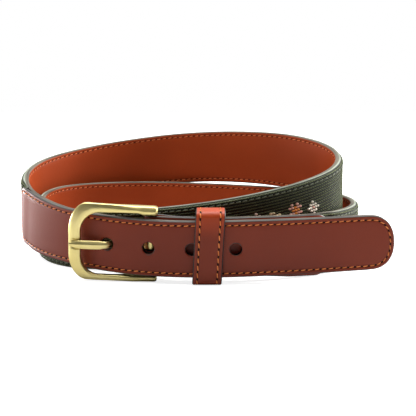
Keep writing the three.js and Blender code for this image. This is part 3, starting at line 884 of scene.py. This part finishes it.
def needlepoint_pieces(material):
    """The stitched cover in two pieces; it runs on under the rounded leather ends."""
    start = BILLET_END - LAP_LENGTH + 0.5
    length = TAB_START + LAP_LENGTH - 0.5 - start
    columns = int(round(length / STITCH_PITCH))
    grid = (stitch_colours(columns), start, length / columns)
    half = columns // 2
    return [
        needlepoint_stitches("needlepoint_first_half", material, 0, half, *grid),
        needlepoint_stitches("needlepoint_second_half", material, half, columns, *grid),
    ]


def thread_beads(name, path, normals, material, pitch, radius):
    """Row of sewn stitches on a line of surface points; returns the piece and the hole places."""
    travelled = lengths(path)
    end = travelled[-1]
    count = max(1, int(end // pitch))

    def at(values, s):
        return np.stack([np.interp(s, travelled, values[:, c]) for c in range(3)], -1)

    share, size, lift = np.array(BEAD).T[..., None]
    s = (np.arange(count)[:, None] + 0.5 + share[:, 0]) * end / count
    n = unit(at(normals, s))
    ahead = unit(at(path, np.minimum(s + THREAD_STEP, end)) - at(path, np.maximum(s - THREAD_STEP, 0)))
    b = np.cross(n, ahead)
    centre = at(path, s) + n * lift * radius + b * share * THREAD_SLANT * 2
    cosine, sine = np.array(circle(BEAD_SIDES)).T[..., None]
    rings = b[:, :, None] * cosine + n[:, :, None] * sine * THREAD_FLATNESS
    points = centre[:, :, None] + rings * radius * size[:, None]
    faces = repeated(ring_faces(len(BEAD), BEAD_SIDES), len(BEAD) * BEAD_SIDES, count)
    obj = sewing_object(name, points, faces, material)
    ends = np.arange(count + 1) * end / count
    return obj, at(path, ends), unit(at(normals, ends))


def sewing_object(name, points, faces, material):
    """Piece of sewing; under the keeper it is pressed flat against the floor."""
    points = points.reshape(-1, 3)
    points[:, 2] = np.maximum(points[:, 2], FLOOR_CLEARANCE)
    return finish_mesh(make_object(name, points, faces, [material]), SEWING_SHARP_ANGLE)


def awl_hole_shades(name, rows, material):
    """Small dark lens at each place where the thread goes down: painted shade of the awl hole."""
    cosine, sine = np.array(circle(LENS_SIDES)).T[..., None]
    lenses = []
    for places, normals, length, width in rows:
        ahead = unit(np.gradient(places, axis=0))
        side = np.cross(normals, ahead)
        place, n, a, b = (vectors[:, None] for vectors in (places, normals, ahead, side))
        rim = place + a * length / 2 * cosine + b * width / 2 * sine + n * LENS_RIM
        lenses.append(np.concatenate([rim, place + n * LENS_RISE, place - n * LENS_RISE], 1))
    points = np.concatenate(lenses)
    faces = []
    for j in range(LENS_SIDES):
        k = (j + 1) % LENS_SIDES
        faces += [(j, k, LENS_SIDES), (k, j, LENS_SIDES + 1)]
    return sewing_object(name, points, repeated(faces, LENS_SIDES + 2, len(points)), material)


def band_path(side):
    """Line of sewing along the lower or the upper edge of the band."""
    d = stations(BILLET_END + 2, TAB_START - 2, 1)
    _, _, _, out = strap_axes(d)
    return strap_points(d, side * (half_width(d) - BAND_THREAD_INSET), band_outer(d) - 0.25), out


def outline_path(outline, t_at, outward=1.0):
    """Line of sewing along the lower edge, round the first end and back along the upper edge."""
    d, w, nd, nw = outline
    line_d = d - THREAD_INSET * nd
    line_w = w - THREAD_INSET * nw
    line_d = np.concatenate([line_d[::-1], line_d[1:]])
    line_w = np.concatenate([-line_w[::-1], line_w[1:]])
    _, _, _, out = strap_axes(line_d)
    return strap_points(line_d, line_w, t_at(line_d)), out * outward


def tab_line():
    """Tab leather as rows of distance, offset, half thickness, half width and outline normal."""
    bend = BAR_RADIUS + FOLD_CLEARANCE + FACE_THICKNESS / 2
    top = LAYER_GAP / 2 + FACE_THICKNESS / 2
    level = -LAYER_GAP / 2 - LINING_THICKNESS / 2
    d, w, nd, nw = strip_outline(TAB_START, BAR_STATION, 1.5, -1)
    half = leather_thickness(d) / 2
    face = np.stack([d, lap_lift(d) + half, half, w, nd, nw], 1)
    angle = np.linspace(0, math.pi, FOLD_ROWS)[1:]
    depth = top - 2 * bend
    back = np.linspace(0, INNER_LEG, FOLD_ROWS)[1:]
    fold_d = np.concatenate([BAR_STATION + bend * np.sin(angle), BAR_STATION - back])
    leg_t = depth + (level - depth) * smoothstep(back, 2, 16)
    fold_t = np.concatenate([top - bend * (1 - np.cos(angle)), leg_t])
    ones = np.ones_like(fold_d)
    fold = np.stack([fold_d, fold_t, ones * FACE_THICKNESS / 2, half_width(fold_d), ones * 0, ones], 1)
    return np.vstack([face, fold])


def path_normals(line):
    run = np.gradient(line[:, :2], axis=0)
    size = np.maximum(np.hypot(run[:, 0], run[:, 1]), 1e-9)
    return np.stack([-run[:, 1] / size, run[:, 0] / size], 1)


def buckle_tab(materials):
    """Leather of the buckle end, folded round the bar and slotted for the prong."""
    line = tab_line()
    d, t, half, w, nd, nw = line.T
    side = path_normals(line)
    side[np.abs(nw) < 0.999] = (0, 1)
    travelled = lengths(line[:, :2])

    def place(along, across, depth, on_outer):
        offset = np.maximum(half - depth, 0) if on_outer else np.minimum(-half + depth, 0)
        points = strap_points(along + side[:, 0] * offset, across, t + side[:, 1] * offset)
        return points, (travelled, across, offset)

    obj = swept_strip("tab", (d, w, nd, nw), place, GROOVED_EDGE, PLAIN_EDGE, materials)
    cut(obj, [slot_cutter(materials[1:])])
    return obj


def slot_cutter(materials):
    """Round-ended slot through the fold, where the prong passes."""
    radius = SLOT_HEIGHT / 2
    outline = []
    for k in range(SLOT_STEPS + 1):
        angle = math.radians(-90 + 180 * k / SLOT_STEPS)
        outline.append((SLOT_LENGTH - radius + radius * math.cos(angle), radius * math.sin(angle)))
    outline += [(-x, z) for x, z in reversed(outline)]
    points = [buckle_point(x, y, z + PRONG_LIFT) for y in (-SLOT_DEPTH, SLOT_DEPTH) for x, z in outline]
    return finish_mesh(make_object("slot", points, ring_faces(2, len(outline)), materials))


# Axes at the bar's middle: x to the right, y away from the viewer, z along the bar.
BUCKLE_ORIGIN = strap_points(BAR_STATION, 0, LAYER_GAP / 2 - FOLD_CLEARANCE - BAR_RADIUS)
BUCKLE_Z = strap_axes(BAR_STATION)[2]
BUCKLE_Y = unit(np.cross(BUCKLE_Z, (1.0, 0.0, 0.0)))
BUCKLE_X = np.cross(BUCKLE_Y, BUCKLE_Z)


def buckle_point(x, y, z):
    return BUCKLE_ORIGIN + BUCKLE_X * x + BUCKLE_Y * y + BUCKLE_Z * z


def arm_contour(half, slope, along, high, left, right):
    """Points from the end of a sloped arm round an elliptic corner to the limb."""
    turn = left + along
    line = [right - step for step, _ in ARM_END]
    line += [right + (turn - right) * k / ARM_STEPS for k in range(2, ARM_STEPS)]
    points = [(x, half - slope * (x - turn) / (right - turn)) for x in line]
    for k in range(ARM_STEPS + 1):
        angle = math.radians(90 + 90 * k / ARM_STEPS)
        points.append((turn + along * math.cos(angle), half - high + high * math.sin(angle)))
    for k in range(1, LIMB_STEPS):
        points.append((left, (half - high) * (1 - k / LIMB_STEPS)))
    return points


def u_contour(upper, lower, left, right):
    """Points of a U from the upper arm's end round the limb to the lower arm's end."""
    mirrored = [(x, -z) for x, z in reversed(arm_contour(*lower, left, right))]
    return arm_contour(*upper, left, right) + [(left, 0.0)] + mirrored


def prong_seat(x, z):
    """Depth of the seat that is pressed into the limb under the prong."""
    inward = smoothstep(x, -FRAME_LENGTH + 2.6, -FRAME_LENGTH + 3.4)
    level = 1 - smoothstep(abs(z + FRAME_LIFT - PRONG_LIFT), 2.5, 3.1)
    return SEAT_DEPTH * inward * level


def buckle_frame(brass):
    """U-shaped frame that thickens towards the bar."""
    outer = u_contour(*FRAME_OUTER, -FRAME_LENGTH, FRAME_PAST)
    inner = u_contour(*FRAME_INNER, -FRAME_LENGTH + FRAME_LIMB, FRAME_PAST)
    line_x, line_y = np.array(FRAME_LINE).T
    limb_section, arm_section = np.array([LIMB_SECTION, ARM_SECTION])
    count = len(outer)
    rings = []
    for k, ((xo, zo), (xi, zi)) in enumerate(zip(outer, inner)):
        arm = smoothstep((xo + xi) / 2, *ARM_START)
        end = min(k, count - 1 - k, len(ARM_END) - 1)
        scale = 1 - ARM_END[end][1]
        boss = FRAME_BOSS_DROP * smoothstep(xi, *BOSS_DROP_RANGE) if zi > 0 else 0
        for share, depth in limb_section + (arm_section - limb_section) * arm:
            share = 0.5 + (share - 0.5) * scale
            depth = depth * scale
            x = xo + (xi - xo) * share
            z = zo + (zi - boss - zo) * share
            thick = FRAME_THICK + FRAME_BOSS * smoothstep(x, *BOSS_RANGE)
            y = np.interp(x, line_x, line_y) + depth * thick
            if depth < -0.3:
                y += prong_seat(x, z)
            rings.append(buckle_point(x, y, z + FRAME_LIFT))
    obj = make_object("buckle_frame_smooth", rings, ring_faces(count, len(LIMB_SECTION)), [brass])
    return finish_mesh(obj, FRAME_SHARP_ANGLE)


def buckle_bar(brass):
    reach = FRAME_HALF - FRAME_UPPER_ARM / 2
    rings = []
    for z in np.linspace(-reach, reach, BAR_RINGS):
        for cosine, sine in circle(BAR_SIDES):
            rings.append(buckle_point(BAR_RADIUS * cosine, BAR_RADIUS * sine, z + FRAME_LIFT))
    return finish_mesh(make_object("buckle_bar", rings, ring_faces(BAR_RINGS, BAR_SIDES), [brass]))


def buckle_prong(brass):
    """Prong with two long facets and a bevelled tip."""
    last = len(PRONG_LINE) - 1
    u = np.linspace(0.55, last, PRONG_ROWS)
    line = spline(PRONG_LINE, u)
    step = 0.05
    ahead = unit(spline(PRONG_LINE, np.minimum(u + step, last)) - spline(PRONG_LINE, u - step))
    side = np.stack([-ahead[:, 1], ahead[:, 0]], 1)
    rings = []
    for k, ((x, y), (sx, sy)) in enumerate(zip(line, side)):
        close = 1 - smoothstep(PRONG_ROWS - 1 - k, 0, PRONG_TIP_ROWS)
        taper = 1 - TIP_TAPER * close**TIP_ROUNDING
        thin = 1 - TIP_THINNING * close
        waist = 1 - PRONG_NECK * smoothstep(-x, *NECK_START) * (1 - smoothstep(-x, *NECK_END))
        for across, depth in PRONG_SECTION:
            h = PRONG_HEIGHT / 2 * taper * waist * across
            t = PRONG_THICK * depth * waist * (thin if depth > 0 else 1)
            rings.append(buckle_point(x + sx * t, y + sy * t, PRONG_LIFT + h))
    obj = make_object("buckle_prong_smooth", rings, ring_faces(PRONG_ROWS, len(PRONG_SECTION)), [brass])
    return finish_mesh(obj, PRONG_SHARP_ANGLE)


def prong_eye(brass):
    inner = BAR_RADIUS + FOLD_CLEARANCE
    half = PRONG_EYE_HEIGHT / 2
    profile = [(inner, 0.2 - half), (inner + 0.2, -half), (PRONG_EYE - 0.4, -half), (PRONG_EYE, 0.4 - half)]
    profile += [(radius, -z) for radius, z in reversed(profile)]
    rings = []
    for cosine, sine in circle(EYE_SIDES):
        for radius, z in profile:
            rings.append(buckle_point(radius * cosine, radius * sine, PRONG_LIFT + z))
    return finish_mesh(make_object("prong_eye", rings, ring_faces(EYE_SIDES, len(profile), True), [brass]))


def keeper_outline():
    """Outer outline of the keeper in the y, z plane with outward normals."""
    front, back = KEEPER_FRONT + KEEPER_CORNER, KEEPER_BACK - KEEPER_CORNER
    low, high = KEEPER_CORNER, KEEPER_HEIGHT - KEEPER_CORNER
    corners = np.array([(back, high), (front, high), (front, low), (back, low)])
    centres = []
    angles = []
    for index, corner in enumerate(corners):
        centres += [corner] * (CORNER_STEPS + 1)
        angles += [90 * index + 90 * k / CORNER_STEPS for k in range(CORNER_STEPS + 1)]
        side = corners[(index + 1) % 4] - corner
        count = int(np.linalg.norm(side) // KEEPER_STEP)
        centres += [corner + side * k / count for k in range(1, count)]
        angles += [90 * index + 90] * (count - 1)
    angles = np.radians(angles)
    normals = np.stack([np.cos(angles), np.sin(angles)], 1)
    return np.array(centres) + KEEPER_CORNER * normals, normals


def keeper_point(x, y, z):
    place = (KEEPER_X + x + (z - KEEPER_HEIGHT / 2) * KEEPER_LEAN, y, z)
    return np.array(place) + SEAM_SHIFT


def keeper_edges():
    shift = KEEPER_THREAD_INSET - THREAD_INSET
    grooved = [GROOVED_EDGE[0]]
    for inset, depth in GROOVED_EDGE[1:]:
        grooved.append((inset + shift if inset > 1 else inset, depth))
    return grooved


def keeper_loop(materials):
    """Closed keeper, with a painted highlight on its leather towards the bend at its top."""
    outline, normals = keeper_outline()
    plan = section_plan(keeper_edges(), PLAIN_EDGE)
    rings = []
    strap = []
    for (y, z), (ny, nz), far in zip(outline, normals, lengths(outline)):
        for way, inset, depth, on_outer in plan:
            into = min(depth, KEEPER_WALL / 2)
            into = into if on_outer else KEEPER_WALL - into
            x = (KEEPER_WIDTH / 2 - inset) * way
            rings.append(keeper_point(x, y - ny * into, z - nz * into))
            strap.append((far * MM, x * MM, into * MM))
    obj = planned_piece("keeper", plan, rings, strap, materials, True)
    # The stretch value here is the painted highlight's strength, rising towards the top bend.
    stretch = smoothstep(outline[:, 1], KEEPER_HEIGHT - HIGHLIGHT_START, KEEPER_HEIGHT - HIGHLIGHT_END)
    point_values(obj, "stretch", np.repeat(stretch, len(plan)))
    return finish_mesh(obj)


def keeper_paths():
    outline, normals = (np.vstack([rows, rows[:1]]) for rows in keeper_outline())
    facing = np.insert(normals, 0, 0, axis=1)
    paths = []
    for way in (-1, 1):
        x = way * (KEEPER_WIDTH / 2 - KEEPER_THREAD_INSET)
        line = [keeper_point(x, y - 0.2 * ny, z - 0.2 * nz) for (y, z), (ny, nz) in zip(outline, normals)]
        paths.append((np.array(line), facing))
    return paths


def attach(piece, slot, *nodes):
    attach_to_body(piece, "root")
    if nodes:
        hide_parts(*nodes)


def sew(name, paths, thread, shade_material, slot, pitch=THREAD_PITCH, hole=(1.8, 1.0), radius=THREAD_RADIUS):
    """Threads and awl holes of one piece of leather."""
    rows = []
    for index, (path, normals) in enumerate(paths):
        obj, places, faces = thread_beads(f"{name}_thread_{index}", path, normals, thread, pitch, radius)
        attach(obj, slot)
        rows.append((places, faces, *hole))
    attach(awl_hole_shades(f"{name}_awl_hole_shades", rows, shade_material), slot)


def build_belt():
    looks = {name: leather(name, *values) for name, values in LEATHERS.items()}
    looks |= {name: plain_dark(name, colour) for name, colour in HOLE_SHADES.items()}
    looks |= {name: thread_material(name, *values) for name, values in THREADS.items()}
    burgundy = [looks["burgundy_leather"], looks["hole_shade"]]
    tan = [looks["tan_leather"], looks["hole_shade"]]
    brass = brass_material()

    lining = lining_strap(tan)
    billet = billet_leather(burgundy)
    punch(lining, tan)
    punch(billet, burgundy)
    attach(lining, "lining_leather", "lining_strap")
    attach(billet, "tab_leather", "billet_leather")

    attach(needlepoint_canvas([canvas_material()]), "needlepoint", "needlepoint_band")
    for piece in needlepoint_pieces(yarn_material()):
        attach(piece, "needlepoint")

    attach(buckle_tab(burgundy), "tab_leather", "buckle_tab")
    attach(keeper_loop([looks["keeper_leather"]]), "tab_leather", "keeper_loop")
    attach(buckle_frame(brass), "brass", "buckle_frame")
    attach(buckle_bar(brass), "brass")
    attach(buckle_prong(brass), "brass", "buckle_prong")
    attach(prong_eye(brass), "brass")
    sew_belt(looks)


def sew_belt(looks):
    """Sewing of every piece, its threads sunk into their grooves."""
    # Dark lenses and walls at the holes: painted shade.
    dark = looks["hole_shade"]
    orange = looks["orange_thread"]

    def face(d):
        return leather_face(d) - GROOVE_DEPTH

    def back(d):
        return LINING_FACE + GROOVE_DEPTH

    outline = strip_outline(0, BILLET_END, SEWING_STEP, 1)
    sew("billet", [outline_path(outline, face)], orange, dark, "tab_leather")
    outline = strip_outline(TAB_START, BAR_STATION - 4, SEWING_STEP, -1)
    sew("tab", [outline_path(outline, face)], orange, dark, "tab_leather")
    outline = strip_outline(0, BAR_STATION - INNER_LEG - 4, SEWING_STEP)
    paths = [outline_path(outline, back, -1.0)]
    tan_thread, lining_shade = looks["tan_thread"], looks["lining_awl_hole_shade"]
    sew("lining", paths, tan_thread, lining_shade, "lining_leather", hole=(0.28, 0.22), radius=0.3)
    sew("keeper", keeper_paths(), orange, dark, "tab_leather", KEEPER_THREAD_PITCH)
    sew("band", [band_path(-1), band_path(1)], looks["green_thread"], dark, "needlepoint", hole=(1.0, 0.7))


def floor():
    """Plain pale floor; a little glow of its own keeps its far parts as pale as the rest."""
    material, tree = new_material("white_sweep")
    dress(material, (*grey(FLOOR_TONE), 1), 0.9, 0.1)
    seen = add_node(tree, "LightPath", {}, "Is Camera Ray")
    dark = add_node(tree, "Emission", {"Strength": 0})
    glow = add_node(tree, "Emission", {"Strength": FLOOR_GLOW})
    pick = add_node(tree, "MixShader", {"Fac": seen, 1: dark, 2: glow})
    both = add_node(tree, "AddShader", {0: tree.nodes["Principled BSDF"].outputs[0], 1: pick})
    feed(tree, tree.nodes["Material Output"], {"Surface": both})
    r = FLOOR_REACH
    corners = [(-r, -r, 0), (r, -r, 0), (r, r, 0), (-r, r, 0)]
    make_object("floor", corners, [(0, 1, 2, 3)], [material])


def area_light(name, place, size, power):
    """Soft rectangular light aimed at the belt and not seen by the camera."""
    data = bpy.data.lights.new(name, "AREA")
    data.shape = "RECTANGLE"
    data.size, data.size_y = size
    data.energy = power
    obj = add_object(name, data)
    obj.location = place
    obj.rotation_euler = (Vector(LIGHT_TARGET) - Vector(place)).to_track_quat("-Z", "Y").to_euler()
    obj.visible_camera = False


def lights():
    """Studio light: strong from above and both sides, weak from the viewer's side, before white."""
    world = bpy.data.worlds.new("studio")
    world.use_nodes = True
    tree = world.node_tree
    place = add_node(tree, "TexCoord", {}, "Generated")
    ahead = add_node(tree, "SeparateXYZ", {"Vector": place}, "Y")
    bounds = {"From Min": -0.45, "From Max": 0.7, "To Min": WORLD_FRONT, "To Max": WORLD_BACK}
    strength = add_node(tree, "MapRange", {"Value": ahead, **bounds}, interpolation_type="SMOOTHSTEP")
    background = tree.nodes["Background"]
    feed(tree, background, {"Color": WHITE, "Strength": strength})
    backdrop = add_node(tree, "Background", {"Color": WHITE})
    seen = add_node(tree, "LightPath", {}, "Is Camera Ray")
    mix = add_node(tree, "MixShader", {"Fac": seen, 1: background.outputs[0], 2: backdrop})
    feed(tree, tree.nodes["World Output"], {"Surface": mix})
    bpy.context.scene.world = world
    for panel in AREA_LIGHTS:
        area_light(*panel)


def camera():
    """The photo's viewpoint: half a metre in front, looking ten degrees down."""
    data = bpy.data.cameras.new("camera")
    data.sensor_width = SENSOR_WIDTH
    data.lens = FOCAL_PIXELS / IMAGE_PIXELS * SENSOR_WIDTH
    obj = add_object("camera", data)
    obj.location = [(place + shift) * MM for place, shift in zip(CAMERA_PLACE, SEAM_SHIFT)]
    obj.rotation_euler = (math.pi / 2 - math.radians(CAMERA_PITCH), 0, -math.radians(CAMERA_YAW))
    bpy.context.scene.camera = obj


camera()
build_belt()
floor()
lights()
bpy.context.scene.view_settings.view_transform = "Standard"

bpy.context.view_layer.update()
